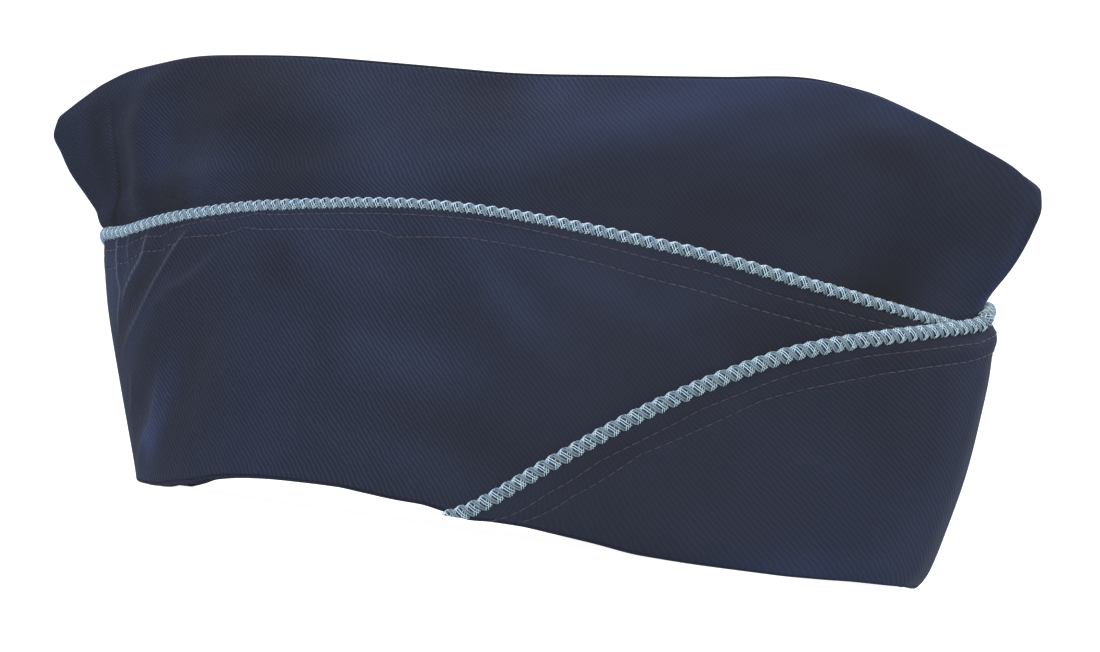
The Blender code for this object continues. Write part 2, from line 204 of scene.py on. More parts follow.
def readCurve(points, column, at):
    # A smooth curve through one column that doesn't overshoot
    x = next(iter(points.values()))
    y = points[column]
    rise = np.diff(y) / np.diff(x)
    slope = np.concatenate([rise[:1], np.zeros(len(x) - 2), rise[-1:]])
    sameWay = rise[:-1] * rise[1:] > 0
    both = np.where(sameWay, rise[:-1] + rise[1:], 1)
    slope[1:-1] = np.where(sameWay, 2 * rise[:-1] * rise[1:] / both, 0)
    at = np.clip(at, x[0], x[-1])
    i = np.clip(np.searchsorted(x, at) - 1, 0, len(x) - 2)
    step = x[i + 1] - x[i]
    t = (at - x[i]) / step
    start = (1 + 2 * t) * (1 - t) ** 2 * y[i] + t * (1 - t) ** 2 * step * slope[i]
    return start + t * t * (3 - 2 * t) * y[i + 1] + t * t * (t - 1) * step * slope[i + 1]


def bySide(points, at, side):
    return np.where(side < 0, readCurve(points, "right", at), readCurve(points, "left", at))


def alongOf(roundShare):
    return -np.cos(np.pi * roundShare)


def hemHeight(roundShare, side):
    return cap["hemArch"] * bySide(hemRise, roundShare, side)


def ridgeHeight(roundShare, side):
    return size["capHeight"] * bySide(ridge, alongOf(roundShare), side)


def levelAt(roundShare, height, side):
    hem = hemHeight(roundShare, side)
    return (height - hem) / (ridgeHeight(roundShare, side) - hem)


def levelHeight(roundShare, level, side):
    hem = hemHeight(roundShare, side)
    return hem + (ridgeHeight(roundShare, side) - hem) * level


def planPoint(roundShare, level, outset, sideWall, beak, pinchShare):
    ends = []
    for end, hemEnd in (("back", size["hemBack"]), ("front", size["hemFront"])):
        fill = np.where(pinchShare >= 1, readCurve(beakFill, end, level), 0)
        share = readCurve(sections, end, level) + fill
        ends.append(mix(hemEnd, size["ridgeLength"] / 2, share))
    back, front = ends
    width = mix(hemSide, cap["ridgeWidth"] / 2, readCurve(sections, "width", level)) + sideWall
    along = alongOf(roundShare)
    half = (back + front) / 2 + outset
    pinch = mix(readCurve(sections, "backPinch", level), readCurve(sections, "frontPinch", level),
                ease((along + 1) / 2))
    fin = beak * np.clip((pinch - 1) / (cap["fullFinPinch"] - 1), 0, 1)
    fromEnd = np.minimum(half * (1 - np.abs(along)) / max(beak, cap["gap"]), 1)
    lens = np.maximum(1 - along ** 2, 0) ** (mix(1, pinch, pinchShare) / 2)
    across = (width - fin) * lens + fin * np.sqrt(1 - (1 - fromEnd) ** 2)
    return (front - back) / 2 + half * along, across


def addBumps(bumps, roundShare, level, column, where, only):
    # Sum of the soft bumps whose first column fits the place
    total = 0 * (roundShare + level)
    for k, owner in enumerate(bumps[where]):
        bump = {name: values[k] for name, values in bumps.items()}
        rise = level - bump["level"]
        along = (roundShare - bump["round"] - bump["slant"] * rise) / bump["along"]
        shape = bump[column] * np.exp(-along ** 2 - (rise / bump["up"]) ** 2)
        total = total + np.where(only == owner, shape, 0)
    return total


def foldTravel(roundShare, level, side):
    return cap["foldDepth"] * addBumps(folds, roundShare, level, "depth", "side", side)


# Painted light and shade of the folds at these places
def paintedFoldTone(roundShare, level, layer):
    return addBumps(paintedFoldShading, roundShare, level, "tone", "layer", layer)


def clothPoint(roundShare, level, side, outset=0.0, sideWall=0.0, beak=0.0, pinchShare=1.0, extra=0.0):
    # Extra is fine relief in metres, outward
    lay = (outset, sideWall, beak, pinchShare)
    x, across = planPoint(roundShare, level, *lay)
    reach = cap["foldReach"]
    middle = np.clip(roundShare, 2 * reach, 1 - 2 * reach)
    xBefore, acrossBefore = planPoint(middle - reach, level, *lay)
    xAfter, acrossAfter = planPoint(middle + reach, level, *lay)
    run, spread = xAfter - xBefore, acrossAfter - acrossBefore
    reachLength = np.hypot(run, spread)
    fade = ease(across / (cap["foldFade"] * cap["foldDepth"]))
    travel = (foldTravel(roundShare, level, side) * fade + extra) / reachLength
    z = levelHeight(roundShare, level, side)
    return np.stack([x - spread * travel, side * (across + run * travel), z + 0 * x], axis=-1)


# Fine relief of the cloth: gathers, creases and stitched grooves lie along lines on its flat map
class ClothMap:
    # Arc lengths across and up a face, in metres, for places given as (path, share)
    columns = 240
    rows = 50
    inside = 0.001      # part of a cell that a place keeps from the map's end

    def __init__(self, surface, end):
        self.path = np.linspace(0, end, self.columns)
        points = surface(self.path[None, :], np.linspace(0, 1, self.rows)[:, None])
        self.across = runLength(points, 1)
        self.across = self.across - self.across[:, [self.columns // 2]]
        self.up = runLength(points, 0)

    def at(self, path, share):
        c = np.interp(path, self.path, np.arange(self.columns))
        c = np.clip(c, 0, self.columns - 1 - self.inside)
        r = np.clip(np.asarray(share) * (self.rows - 1), 0, self.rows - 1 - self.inside)
        left, low = c.astype(int), r.astype(int)
        c, r = c - left, r - low
        both = []
        for grid in (self.across, self.up):
            lower = mix(grid[low, left], grid[low, left + 1], c)
            upper = mix(grid[low + 1, left], grid[low + 1, left + 1], c)
            both.append(mix(lower, upper, r))
        return both

    def fromLine(self, place, line):
        # Signed distance to a line (positive in front of it or above it) and the way along it
        line = np.array(line)
        lineAcross, lineUp = self.at(line[:, 0], line[:, 1])
        along = np.concatenate([[0], np.cumsum(np.hypot(np.diff(lineAcross), np.diff(lineUp)))])
        across, up = place
        nearest = np.full(np.shape(across), np.inf)
        signed, way = np.zeros(np.shape(across)), np.zeros(np.shape(across))
        for k in range(len(line) - 1):
            run, rise = lineAcross[k + 1] - lineAcross[k], lineUp[k + 1] - lineUp[k]
            length = max(math.hypot(run, rise), 1e-9)
            t = ((across - lineAcross[k]) * run + (up - lineUp[k]) * rise) / length ** 2
            t = np.clip(t, 0, 1)
            gapAcross, gapUp = across - lineAcross[k] - t * run, up - lineUp[k] - t * rise
            distance = np.hypot(gapAcross, gapUp)
            closer = distance < nearest
            nearest = np.where(closer, distance, nearest)
            turnWay = np.where(gapUp * run - gapAcross * rise < 0, -1.0, 1.0)
            signed = np.where(closer, distance * turnWay, signed)
            way = np.where(closer, (along[k] + t * length) / along[-1], way)
        return signed, way, along[-1]


def runLength(points, axis):
    steps = np.linalg.norm(np.diff(points, axis=axis), axis=-1)
    start = np.zeros_like(np.take(steps, [0], axis=axis))
    return np.concatenate([start, np.cumsum(steps, axis=axis)], axis=axis)


def creaseRelief(cloth, place, creases):
    # Pressed gathers: a thin crest, the cloth falling away beside it, and its edge painted lighter, partly
    # as wear and partly as a painted highlight where the crest catches light
    relief, worn = 0.0, 0.0
    for crease in creases:
        distance, way, _ = cloth.fromLine(place, crease["line"])
        fade = ease(way / crease["fadeIn"]) * ease((1 - way) / crease["fadeOut"])
        beside = distance / crease["spread"]
        tent = np.exp(-np.abs(beside))
        valley = np.exp(-((beside + curtain["dipAt"]) / curtain["dipWidth"]) ** 2)
        crest = np.exp(-(distance / crease["width"]) ** 2)
        rise = crease["height"] * tent - crease["dip"] * valley + crease["crest"] * crest
        relief = relief + fade * rise
        worn = worn + fade * crease["worn"] * crest
    return relief, worn


def seamRelief(cloth, place, rows):
    # A stitched row sinks into the cloth, most where its thread goes through, and puckers it
    relief = 0.0
    for row in rows:
        distance, way, length = cloth.fromLine(place, row)
        holes = 0.5 + 0.5 * np.cos(2 * np.pi * way * round(length / seam["pitch"]))
        depth = seam["groove"] * mix(seam["betweenHoles"], 1.0, holes)
        relief = relief - depth * np.exp(-(distance / seam["grooveWidth"]) ** 2)
        wander = seam["wander"] * np.sin(way * seam["wanderRate"])
        ripple = np.sin(way * length / seam["rippleLength"] * 2 * np.pi + wander)
        relief = relief + seam["ripple"] * ripple * np.exp(-(distance / seam["rippleReach"]) ** 2)
    return relief


def addObject(name, data):
    added = bpy.data.objects.new(name, data)
    bpy.context.scene.collection.objects.link(added)
    return added


# A cloth wall is a closed ring of rows: up the outside, over the edge and down the inside
def rimArc(start, end, outward, steps):
    centre, half = (start + end) / 2, (start - end) / 2
    radius = np.linalg.norm(half, axis=-1, keepdims=True)
    turns = np.linspace(0, np.pi, steps + 2)[1:-1, None, None]
    return centre + half * np.cos(turns) + outward * radius * np.sin(turns)


def unit(vectors):
    return vectors / np.maximum(np.linalg.norm(vectors, axis=-1, keepdims=True), 1e-12)


def clothWall(name, outer, inner, pairs, clothPlace, grain, marks):
    # Inner rows are fewer: pairs says which outer row each one faces
    rows, columns = outer.shape[:2]
    rimSteps = cap["rimSteps"]
    over = rimArc(outer[-1], inner[-1], unit(outer[-1] - outer[-3]), rimSteps)
    under = rimArc(inner[0], outer[0], unit(outer[0] - outer[2]), rimSteps)
    ring = np.concatenate([outer, over, inner[::-1], under])
    count = len(ring)
    index = np.arange(count * columns).reshape(count, columns)
    following = np.roll(index, -1, axis=0)
    quads = np.stack([index[:, :-1], index[:, 1:], following[:, 1:], following[:, :-1]], -1)
    faces = quads.reshape(-1, 4).tolist()
    innerAt = [count - rimSteps - 1 - k for k in range(len(pairs))]
    for c in (0, columns - 1):
        for k in range(len(pairs) - 1):
            face = [index[r, c] for r in range(pairs[k], pairs[k + 1] + 1)]
            face += [index[innerAt[k + 1], c], index[innerAt[k], c]]
            faces.append([int(v) for v in face])
        faces.append([int(index[rows - 1 + k, c]) for k in range(rimSteps + 2)])
        faces.append([int(index[(innerAt[0] + k) % count, c]) for k in range(rimSteps + 2)])
    data = bpy.data.meshes.new(name)
    data.from_pydata(ring.reshape(-1, 3).tolist(), [], faces)
    mesh = bmesh.new()
    mesh.from_mesh(data)
    bmesh.ops.recalc_face_normals(mesh, faces=mesh.faces)
    mesh.to_mesh(data)
    mesh.free()
    # The map in metres, turned so that its first axis crosses the ribs of the twill
    across, up = clothPlace
    rim = runLength(ring, 0)
    ringAcross = np.concatenate([across, np.repeat(across[-1:], rimSteps, 0), across[pairs][::-1],
                                 np.repeat(across[:1], rimSteps, 0)])
    ringUp = np.concatenate([up, up[-1:] + (rim[rows:] - rim[rows - 1:rows])])
    turn = math.radians(grain)
    crossing = ringUp * math.cos(turn) - ringAcross * math.sin(turn)
    running = ringUp * math.sin(turn) + ringAcross * math.cos(turn)
    values = np.stack([crossing, running], -1).reshape(-1, 2)
    loops = np.zeros(len(data.loops), dtype=np.int32)
    data.loops.foreach_get("vertex_index", loops)
    uv = data.uv_layers.new(name="cloth")
    uv.data.foreach_set("uv", values[loops].astype(np.float32).ravel())
    for mark, amount in marks.items():
        values = np.zeros((count, columns))
        values[:rows] = amount
        values[rows:rows + rimSteps] = values[rows - 1]
        layer = data.attributes.new(mark, "FLOAT", "POINT")
        layer.data.foreach_set("value", values.astype(np.float32).ravel())
    data.shade_smooth()
    data.materials.append(clothMaterial)
    return addObject(name, data)


def between(knots, counts):
    # So many values from each knot up to the next, and the last knot
    parts = [np.linspace(start, end, count, endpoint=False)
             for start, end, count in zip(knots, knots[1:], counts)]
    return np.concatenate(parts + [[knots[-1]]])


# Nodes: sockets that take part in plain expressions, and one method for every other node
class Wire:
    def __init__(self, maker, socket):
        self.maker = maker
        self.socket = socket

    def beside(self, output):
        return Wire(self.maker, self.socket.node.outputs[output])

    def math(self, operation, other=None, swap=False):
        pair = (other, self) if swap else (self, other)
        values = {i: value for i, value in enumerate(pair) if value is not None}
        return self.maker.add("ShaderNodeMath", {"operation": operation}, values)

    __add__ = __radd__ = lambda self, other: self.math("ADD", other)
    __mul__ = __rmul__ = lambda self, other: self.math("MULTIPLY", other)
    __sub__ = lambda self, other: self.math("SUBTRACT", other)
    __rsub__ = lambda self, other: self.math("SUBTRACT", other, swap=True)
    __truediv__ = lambda self, other: self.math("DIVIDE", other)
    __rtruediv__ = lambda self, other: self.math("DIVIDE", other, swap=True)


class NodeMaker:
    def __init__(self, tree):
        self.tree = tree

    def feed(self, node, values):
        for name, value in values.items():
            if isinstance(value, Wire):
                self.tree.links.new(value.socket, node.inputs[name])
            else:
                node.inputs[name].default_value = value

    def add(self, kind, settings=None, values=None, output=0):
        node = self.tree.nodes.new(kind)
        for name, value in (settings or {}).items():
            setattr(node, name, value)
        self.feed(node, values or {})
        return Wire(self, node.outputs[output])

    def vector(self, operation, *values):
        sockets = (0, "Scale") if operation == "SCALE" else range(len(values))
        return self.add("ShaderNodeVectorMath", {"operation": operation}, dict(zip(sockets, values)))

    def mixColour(self, share, first, second):
        values = {0: share, 6: first, 7: second}
        return self.add("ShaderNodeMix", {"data_type": "RGBA"}, values, output=2)

    def noise(self, coordinates, scale, detail):
        values = {"Vector": coordinates, "Scale": scale, "Detail": detail}
        return self.add("ShaderNodeTexNoise", {}, values)

    def mark(self, name):
        return self.add("ShaderNodeAttribute", {"attribute_name": name}, output=2)


def newMaterial(name):
    material = bpy.data.materials.new(name)
    material.use_nodes = True
    shader = material.node_tree.nodes["Principled BSDF"]
    return material, NodeMaker(material.node_tree), shader


clothLook = {
    "groove": (0.0100, 0.0125, 0.0235, 1.0),
    "rib": (0.0165, 0.0215, 0.0450, 1.0),
    "worn": (0.140, 0.150, 0.220, 1.0),
    "paintedFoldTint": (0.83, 0.97, 1.20),
    "ribSpacing": 0.00115,
    "ribDepth": 0.00012,
    # Rib contrast in the colour, strong at the back and faint towards the front: partly the twill's own
    # stripes, partly painted raking light
    "clear": 2.2, "clearTo": 0.01,      # the ribs stand out up to here
    "faint": 0.70, "faintFrom": 0.07,   # and are faint from here on
    "drift": 1.1, "driftScale": 260.0,  # how far the ribs wander, in rib spacings
    "fuzz": 0.50, "fuzzScale": 2000.0,  # part of the tone that is fuzz and not rib
    "cloud": 0.7, "cloudBase": 0.65, "cloudScale": 26.0,
    "ribHeight": 0.7, "fuzzHeight": 0.5,
    "roughness": 0.82, "specular": 0.20,
    "sheen": 0.05, "sheenRoughness": 0.35, "sheenTint": (0.55, 0.60, 0.85, 1.0),
}


def makeCloth(look):
    material, maker, shader = newMaterial("navyTwill")
    uv = maker.add("ShaderNodeUVMap", {"uv_map": "cloth"})
    place = maker.add("ShaderNodeTexCoord", output=3)
    acrossRibs = maker.add("ShaderNodeSeparateXYZ", {}, {0: uv})
    along = maker.add("ShaderNodeSeparateXYZ", {}, {0: place})
    drift = maker.noise(uv, look["driftScale"], 2.0)
    fuzz = maker.noise(uv, look["fuzzScale"], 3.0)
    cloud = maker.noise(place, look["cloudScale"], 3.0)
    phase = (acrossRibs / look["ribSpacing"] + drift * look["drift"]) * (2 * math.pi)
    # Colour contrast of the ribs fades towards the front: painted raking light over the twill's own stripes
    relief = maker.add("ShaderNodeMapRange", {"interpolation_type": "SMOOTHSTEP"},
                       {"Value": along, "From Min": look["clearTo"], "From Max": look["faintFrom"],
                        "To Min": look["clear"], "To Max": look["faint"]})
    rib = phase.math("SINE") * (relief * 0.5) + 0.5
    tone = rib * (1 - look["fuzz"]) + fuzz * look["fuzz"]
    colour = maker.mixColour(tone, look["groove"], look["rib"])
    colour = maker.vector("SCALE", colour, cloud * look["cloud"] + look["cloudBase"])
    # Painted light and shade of the folds, and painted shade by the rear crease, lighten or darken the
    # colour
    gain = maker.vector("MULTIPLY_ADD", maker.mark("paintedFoldShading"), look["paintedFoldTint"], (1.0, 1.0, 1.0))
    colour = maker.vector("MULTIPLY", colour, gain)
    # Crests of gathers and creases painted lighter: partly wear, partly painted highlight
    colour = maker.mixColour(maker.mark("wearAndHighlight"), colour, look["worn"])
    height = rib * look["ribHeight"] + fuzz * look["fuzzHeight"]
    bump = maker.add("ShaderNodeBump", {},
                     {"Strength": 1.0, "Distance": look["ribDepth"], "Height": height})
    maker.feed(shader, {
        "Base Color": colour, "Normal": bump, "Roughness": look["roughness"],
        "Specular IOR Level": look["specular"], "Sheen Weight": look["sheen"],
        "Sheen Roughness": look["sheenRoughness"], "Sheen Tint": look["sheenTint"],
    })
    return material


yarnLook = {"roughness": 0.62, "sheen": 0.15, "bump": 0.6, "bumpDepth": 0.00008}
# Colour, scale of the speckles and their contrast
yarns = {
    "smoothYarn": ((0.150, 0.218, 0.285), 1500.0, 0.37),
    "weaveYarn": ((0.470, 0.640, 0.820), 1500.0, 0.37),
    "coreYarn": ((0.009, 0.030, 0.078), 1500.0, 0.37),
    "seamThread": ((0.034, 0.023, 0.048), 240.0, 0.75),
}


def makeYarn(name, colour, speckleScale, contrast):
    material, maker, shader = newMaterial(name)
    place = maker.add("ShaderNodeTexCoord", output=3)
    speckle = maker.noise(place, speckleScale, 2.0)
    dark = tuple(c * (1 - contrast) for c in colour) + (1.0,)
    light = tuple(min(c * (1 + contrast), 1.0) for c in colour) + (1.0,)
    tone = maker.mixColour(speckle, dark, light)
    bump = maker.add("ShaderNodeBump", {}, {"Strength": yarnLook["bump"],
                                            "Distance": yarnLook["bumpDepth"], "Height": speckle})
    maker.feed(shader, {"Base Color": tone, "Normal": bump, "Roughness": yarnLook["roughness"],
                        "Sheen Weight": yarnLook["sheen"]})
    return material


clothMaterial = makeCloth(clothLook)
yarnMaterials = {name: makeYarn(name, *yarn) for name, yarn in yarns.items()}
print("materials made")


# The crown: two side panels that meet at the beaks, and the top piece sunk between their ridges
crown = {
    "innerRows": 12, "innerStep": 9,    # a wall has one inner row for so many outer ones
    "knots": (0, 0.06, 0.26, 1), "counts": (30, 110, 190),
    "grain": 45.0,
    "rimRidge": 0.9,    # height of the ridge for which the rims are round, as a share of the cap's
    # The back fin lies behind a fold of the panel
    "rearCrease": ((0.184, 0.975), (0.1775, 0.921), (0.170, 0.867), (0.1616, 0.833), (0.1508, 0.805),
                   (0.1308, 0.757), (0.1174, 0.730), (0.0999, 0.708), (0.0799, 0.692), (0.064, 0.680)),
    "fadeIn": 0.35, "fadeOut": 0.15,
    "creaseRise": 0.0004, "creaseReach": 0.009, "creaseEdge": 0.0005,
    "creaseShade": 0.60, "shadeReach": 0.0065, "creaseHighlight": 0.07, "highlightReach": 0.0006,
}
topPiece = {"rows": 34, "columns": 240, "tip": 0.06, "endPower": 0.8, "sidePower": 1.3,
            "grain": 45.0, "tuck": 0.0006}


def crownOuter(roundShare, level, side, extra=0.0):
    return clothPoint(roundShare, level, side, sideWall=cap["cloth"], beak=cap["cloth"], extra=extra)


def crownInner(roundShare, level, side, extra=0.0):
    return clothPoint(roundShare, level, side, outset=-cap["cloth"], extra=extra)


def makeCrownPanel(name, side):
    path = between(crown["knots"], crown["counts"])[None, :]
    low = cap["cloth"] / 2 / (size["capHeight"] * crown["rimRidge"])
    rows = (crown["innerRows"] - 1) * crown["innerStep"] + 1
    pairs = list(range(0, rows, crown["innerStep"]))
    level = np.linspace(low, 1 - low, rows)[:, None]
    flat = ClothMap(lambda path, level: crownOuter(path, level, side), 1)
    place = flat.at(path, level + 0 * path)
    distance, way, _ = flat.fromLine(place, crown["rearCrease"])
    fade = ease(way / crown["fadeIn"]) * ease((1 - way) / crown["fadeOut"])
    away = np.abs(distance)
    step = np.tanh(side * distance / crown["creaseEdge"]) * np.exp(-away / crown["creaseReach"])
    relief = crown["creaseRise"] * fade * step
    outer = crownOuter(path, level, side, relief)
    inner = crownInner(path, level[pairs], side, relief[pairs])
    for face in (outer, inner):
        face[..., 1] += side * cap["seam"] / 2
    # Painted shade beside the rear crease, on the side that sinks behind the fold, darker further down the
    # line
    shade = np.where(step < 0, np.exp(-away / crown["shadeReach"]), 0)
    # A thin painted highlight along the rear crease's raised edge
    wearAndHighlight = crown["creaseHighlight"] * fade * np.exp(-(distance / crown["highlightReach"]) ** 2)
    marks = {"wearAndHighlight": wearAndHighlight, "paintedFoldShading": paintedFoldTone(path, level, 0) - crown["creaseShade"] * way * shade}
    return clothWall(name, outer, inner, pairs, place, -crown["grain"], marks)


def makeCrownTop(name):
    roundShare = np.linspace(topPiece["tip"], 1 - topPiece["tip"], topPiece["columns"])
    edges = []
    for side in (-1, 1):
        edgeLine = crownInner(roundShare, np.ones_like(roundShare), side)
        edgeLine[:, 1] += side * topPiece["tuck"]
        edges.append(edgeLine)
    lens = 1 - alongOf(roundShare) ** 2
    across = np.linspace(-1, 1, topPiece["rows"])[:, None]
    upper = mix(edges[0], edges[1], (across[..., None] + 1) / 2)
    valley = cap["valleyDepth"] * lens ** topPiece["endPower"]
    upper[..., 2] -= valley * (1 - np.abs(across) ** topPiece["sidePower"])
    lower = upper - np.array([0, 0, cap["topCloth"]])
    place = (runLength(upper, 1), runLength(upper, 0))
    pairs = list(range(topPiece["rows"]))
    return clothWall(name, upper, lower, pairs, place, topPiece["grain"], {"wearAndHighlight": 0.0, "paintedFoldShading": 0.0})


# The curtains: turned up from the hem, with the left one lapped over the right one at the front
curtain = {
    "innerStep": 9, "grain": -45.0, "flapGrain": 33.0, "flapEnd": 0.603, "tuck": 0.0012,
    "rightKnots": (0, 0.15, 0.40, 1), "rightCounts": (50, 190, 200),
    "leftKnots": (0, 0.14, 0.36, 1), "leftCounts": (40, 120, 180, 180),     # the last for the flap
    # Near the beaks its upper edge is drawn in, and at the front it rolls under the braid
    "hug": 0.0012, "topPinch": 0.60, "backTopPinch": 0.30, "hugDrop": 0.0048, "hugReach": 0.075,
    "bulge": 0.0012, "bulgeDrop": 0.0060, "bulgeReach": 0.0028,
    "toneBlend": 0.06,      # path over which the flap's tone takes over
    "dipAt": 1.6, "dipWidth": 0.9,      # of the dip beside a gather, in its spreads
}
# Mesh rows bunch up round each stitched line, in bands that keep this room below them
meshRows = {"halfBand": 0.0011, "bandsInHeight": 9, "lowerRoom": 2.5, "upperRoom": 2.2,
            "counts": (56, 9, 6, 9, 10)}
seam = {
    "pitch": 0.0026, "groove": 0.00016, "grooveWidth": 0.00055, "betweenHoles": 0.55,
    "ripple": 0.00007, "rippleLength": 0.0105, "rippleReach": 0.0035,
    "wander": 1.7, "wanderRate": 23.0,
    "linePoints": 900, "threadLift": 0.00003,
}


# Lines on a curtain are (path, share of the way up to the braid)
def gathers(rows):
    names = "fadeIn fadeOut width crest spread height dip worn line".split()
    return [dict(zip(names, row)) for row in rows]


rightGathers = gathers([
    (0.10, 0.30, 0.00032, 0.00022, 0.0022, 0.0004, 0.00015, 0.75, ((0.201, 0.99), (0.1968, 0.933),
     (0.196, 0.865), (0.1977, 0.807), (0.206, 0.739), (0.176, 0.546))),
    (0.15, 0.5, 0.0003, 0.00016, 0.0015, 0.00025, 0.0001, 0.38, ((0.228, 0.99), (0.2227, 0.923),
     (0.2244, 0.867), (0.2262, 0.80))),
    (0.15, 0.3, 0.00035, 0.0002, 0.0026, 0.0005, 0.0002, 0.58, ((0.263, 0.97), (0.256, 0.894),
     (0.251, 0.858), (0.2377, 0.816), (0.2252, 0.772), (0.211, 0.715), (0.203, 0.66))),
    (0.15, 0.35, 0.0004, 0.0002, 0.0036, 0.0007, 0.0003, 0.34, ((0.3225, 0.96), (0.3153, 0.919),
     (0.3011, 0.862), (0.2911, 0.814), (0.2811, 0.772), (0.2627, 0.696), (0.2435, 0.629),
     (0.196, 0.506), (0.169, 0.44))),
    (0.4, 0.4, 0.0012, 0.0001, 0.0038, 0.0006, 0.0002, 0.05, ((0.370, 0.86), (0.357, 0.834),
     (0.3353, 0.776), (0.3186, 0.742), (0.3003, 0.72), (0.2861, 0.696), (0.262, 0.64))),
    (0.4, 0.4, 0.0012, 0.0001, 0.0028, 0.0006, 0.0002, 0.06, ((0.222, 0.46), (0.218, 0.399),
     (0.2135, 0.321), (0.196, 0.247), (0.186, 0.18))),
    (0.4, 0.2, 0.0014, 0.0001, 0.0040, 0.0008, 0.0003, 0.08, ((0.282, 0.50), (0.274, 0.428),
     (0.257, 0.242), (0.206, 0.066), (0.200, 0.01))),
])
leftGathers = gathers([
    (0.15, 0.5, 0.0005, 0.00022, 0.0022, 0.0006, 0.0003, 0.25, ((0.172, 0.98), (0.170, 0.88),
     (0.176, 0.78), (0.160, 0.60))),
    (0.15, 0.4, 0.0005, 0.00022, 0.0026, 0.0007, 0.0004, 0.25, ((0.246, 0.97), (0.238, 0.86),
     (0.219, 0.74), (0.196, 0.63))),
    (0.2, 0.45, 0.0007, 0.0002, 0.0038, 0.0010, 0.0004, 0.18, ((0.310, 0.95), (0.296, 0.84),
     (0.268, 0.71), (0.222, 0.56), (0.190, 0.47))),
    (0.4, 0.3, 0.0014, 0.0001, 0.0040, 0.0007, 0.0003, 0.06, ((0.262, 0.46), (0.250, 0.28),
     (0.214, 0.08))),
])
rightRows = [
    ((0.012, 0.915), (0.08, 0.915), (0.150, 0.920), (0.1955, 0.921), (0.1985, 0.929), (0.221, 0.927),
     (0.236, 0.936), (0.2577, 0.942), (0.2640, 0.936), (0.2827, 0.927), (0.2986, 0.949),
     (0.3228, 0.954), (0.3403, 0.959), (0.3511, 0.946), (0.3728, 0.953), (0.3895, 0.964),
     (0.403, 0.957), (0.457, 0.955), (0.506, 0.956), (0.562, 0.960), (0.616, 0.952), (0.650, 0.946),
     (0.690, 0.939), (0.736, 0.935), (0.765, 0.925), (0.820, 0.926), (0.90, 0.930), (0.97, 0.930)),
    ((0.012, 0.835), (0.08, 0.835), (0.141, 0.841), (0.1935, 0.851), (0.1985, 0.861), (0.2244, 0.861),
     (0.2369, 0.875), (0.2585, 0.881), (0.2852, 0.871), (0.2936, 0.884), (0.3044, 0.884),
     (0.3136, 0.901), (0.3236, 0.903), (0.3411, 0.898), (0.357, 0.894), (0.372, 0.903), (0.3778, 0.915),
     (0.3937, 0.903), (0.43, 0.901), (0.493, 0.894), (0.505, 0.875), (0.557, 0.896), (0.619, 0.893),
     (0.650, 0.887), (0.680, 0.876), (0.730, 0.872), (0.760, 0.863), (0.80, 0.862), (0.90, 0.855),
     (0.97, 0.855)),
]
leftRows = [
    ((0.012, 0.915), (0.10, 0.918), (0.168, 0.922), (0.174, 0.930), (0.236, 0.934), (0.243, 0.943),
     (0.304, 0.944), (0.312, 0.953), (0.42, 0.957), (0.55, 0.958), (0.70, 0.955), (0.85, 0.943),
     (1.0, 0.937), (1.025, 0.927), (1.10, 0.925), (1.147, 0.924), (1.1965, 0.899), (1.2616, 0.850),
     (1.3203, 0.720), (1.350, 0.52), (1.3789, 0.07)),
    ((0.012, 0.835), (0.10, 0.845), (0.168, 0.851), (0.174, 0.861), (0.234, 0.868), (0.240, 0.880),
     (0.300, 0.880), (0.308, 0.897), (0.42, 0.900), (0.55, 0.902), (0.70, 0.900), (0.85, 0.893),
     (1.0, 0.872), (1.04, 0.857), (1.088, 0.853), (1.124, 0.844), (1.155, 0.829), (1.2205, 0.798),
     (1.2939, 0.664), (1.332, 0.42), (1.3572, 0.106)),
]


class CurtainRun:
    # Columns of a curtain: path 0 at the back, 1 at the front, and on to 2 for the flap
    def __init__(self, path, left):
        onFlap = path > 1
        self.side = np.where(onFlap | (not left), -1, 1)
        self.round = np.where(onFlap, 2 - path, path)
        self.lap = (cap["piping"] + cap["gap"]) * readCurve(lap, "share", path) * left
        self.height = curtainHeight * np.where(onFlap, readCurve(flap, "height", self.round),
                                               bySide(edge, self.round, self.side))
        self.seam = cap["seam"] / 2 * (np.maximum(1 - path, 0) if left else 1)
        atFront = np.exp(-((path - 1) / curtain["hugReach"]) ** 2)
        atBack = np.exp(-(path / curtain["hugReach"]) ** 2)
        self.hug = curtain["hug"] * atFront * left
        self.bulge = curtain["bulge"] * atFront * left
        self.pinch = curtain["topPinch"] * atFront + curtain["backTopPinch"] * atBack

    def face(self, level, depth, extra=0.0):
        room = mix(cap["gap"], pipingRoom, ease(level / cap["curtainOpen"]))
        drop = self.height - levelHeight(self.round, level, self.side)
        nearTop = ease(1 - drop / curtain["hugDrop"])
        rolled = np.exp(-((drop - curtain["bulgeDrop"]) / curtain["bulgeReach"]) ** 2)
        outset = room + self.lap + depth * cap["cloth"] - self.hug * nearTop + self.bulge * rolled
        points = clothPoint(self.round, level, self.side, outset, cap["cloth"] + outset,
                            pinchShare=cap["curtainPinch"] + self.pinch * nearTop, extra=extra)
        points[..., 1] += self.side * self.seam
        return points

    def pipingLevel(self):
        return levelAt(self.round, self.height, self.side)

    def piping(self):
        return self.face(self.pipingLevel(), 0.5)


